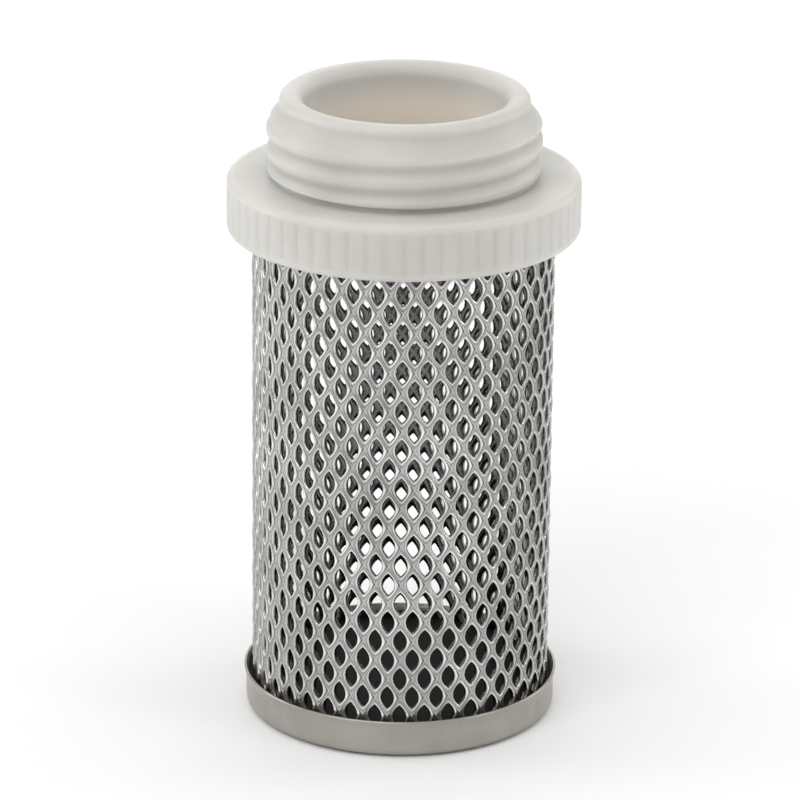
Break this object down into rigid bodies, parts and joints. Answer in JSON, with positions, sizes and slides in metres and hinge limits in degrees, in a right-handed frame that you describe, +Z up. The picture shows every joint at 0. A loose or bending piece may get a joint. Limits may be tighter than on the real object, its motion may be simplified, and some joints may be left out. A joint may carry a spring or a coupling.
{
  "type": "foot valve",
  "caption": "Foot valve for a suction hose: white nylon neck with male hose thread and ribbed collar, sprung check poppet inside, stainless mesh basket with pressed cup.",
  "frame": {"origin": "centre of the bottom cup's underside", "axes": "+Z up the valve's axis, from the cup to the rim of the neck; -Y is the front and the mesh seam is on +Y"},
  "size_m": [0.0344, 0.0344, 0.0632],
  "materials": {
    "nylon": "moulded natural nylon, satin, slightly translucent",
    "acetal": "machined white acetal",
    "blue_acetal": "moulded blue acetal",
    "nitrile": "black nitrile rubber, satin",
    "mesh_steel": "expanded stainless sheet, bright on the cut strands",
    "cup_steel": "pressed stainless sheet, satin",
    "spring_steel": "drawn stainless wire and stampings",
    "weld_steel": "heat-tinted spot welds",
    "brass": "turned brass",
    "potting": "black epoxy potting compound"
  },
  "bodies": {
    "housing": {"neck_body": "nylon", "seat_ring": "acetal", "seat_o_ring": "nitrile", "guide_spider": "spring_steel", "guide_bush": "brass", "retaining_ring": "spring_steel", "poppet_spring": "spring_steel", "mesh_tube": "mesh_steel", "seam_welds": "weld_steel", "bottom_cup": "cup_steel", "cup_potting": "potting"},
    "poppet": {"poppet": "blue_acetal", "poppet_seal": "nitrile", "spring_washer": "spring_steel", "stem_clip": "spring_steel"}
  },
  "joints": [
    {"name": "poppet_lift", "type": "slide", "parent": "housing", "child": "poppet", "axis": [0, 0, 1], "range_m": [0, 0.0028], "stiffness_N_per_m": 450, "springref_m": -0.0008, "deforming": ["poppet_spring"]}
  ]
}
